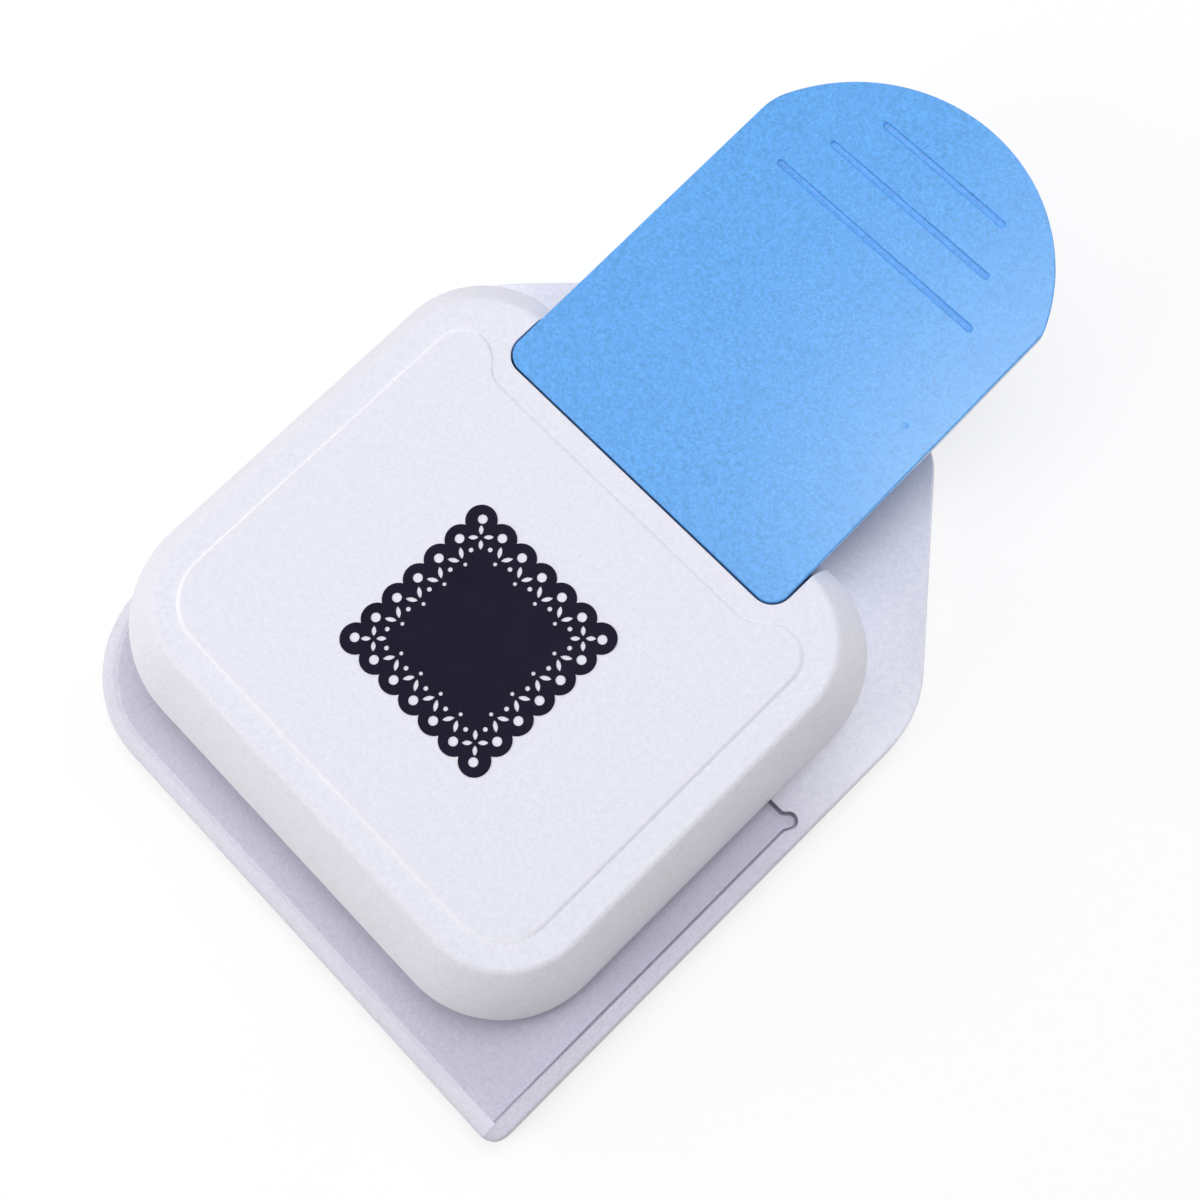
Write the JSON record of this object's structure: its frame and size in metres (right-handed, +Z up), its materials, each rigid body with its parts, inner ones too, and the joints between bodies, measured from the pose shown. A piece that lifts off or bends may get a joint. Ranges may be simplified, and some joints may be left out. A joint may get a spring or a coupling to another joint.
{
  "type": "border punch",
  "caption": "Lever-operated border punch for paper: a low rounded cover on a base with side fence and corner stop, a wide lever behind it pressing a cutter set into a die.",
  "frame": {"origin": "on the table, under the middle of the punch's bounding box", "axes": "+Z up, +Y from the paper mouth to the lever's round end, +X towards the side fence"},
  "size_m": [0.1394, 0.2156, 0.046],
  "materials": {
    "base_plastic": "fine moulded grain",
    "cover_plastic": "fine moulded grain",
    "label_print": "dull print",
    "lever_plastic": "fine moulded grain, slight sheen",
    "plate_steel": "rolled",
    "ground_steel": "ground",
    "spring_steel": "drawn wire",
    "screw_steel": "zinc plated",
    "tool_steel": "hardened and ground",
    "bronze": "sintered",
    "rubber": "dull"
  },
  "bodies": {
    "frame": {"base": "base_plastic", "rubber_feet": "rubber", "housing": "cover_plastic", "housing_screws": "screw_steel", "top_panel": "cover_plastic", "top_label": "label_print", "die_plate": "plate_steel", "plate_spacer": "plate_steel", "stripper_plate": "plate_steel", "die_screws": "screw_steel", "guide_posts": "ground_steel", "return_springs": "spring_steel", "pivot_bracket": "plate_steel", "bracket_screws": "screw_steel", "pivot_pin": "ground_steel", "pivot_clips": "spring_steel"},
    "lever": {"lever_handle": "lever_plastic", "lever_arm": "plate_steel", "lever_screws": "screw_steel", "pivot_bushes": "bronze", "presser_pin": "ground_steel"},
    "punch": {"punch_holder": "plate_steel", "guide_bushes": "bronze", "wear_plate": "tool_steel", "cutter_retainer": "plate_steel", "corner_cutter": "tool_steel", "side_cutters": "tool_steel", "eyelet_pins": "tool_steel", "punch_screws": "screw_steel"}
  },
  "joints": [
    {"name": "lever_hinge", "type": "hinge", "parent": "frame", "child": "lever", "pos_m": [-0.00275, -0.0774, 0.0288], "axis": [-1, 0, 0], "range_deg": [0, 5.2], "stiffness_Nm_per_rad": 9, "springref_deg": -2.58},
    {"name": "punch_slide", "type": "slide", "parent": "frame", "child": "punch", "axis": [0, 0, -1], "range_m": [0, 0.004], "deforming": ["return_springs"]}
  ],
  "couplings": [
    {"joint": "punch_slide", "follows": "lever_hinge", "m_per_rad": 0.044}
  ]
}
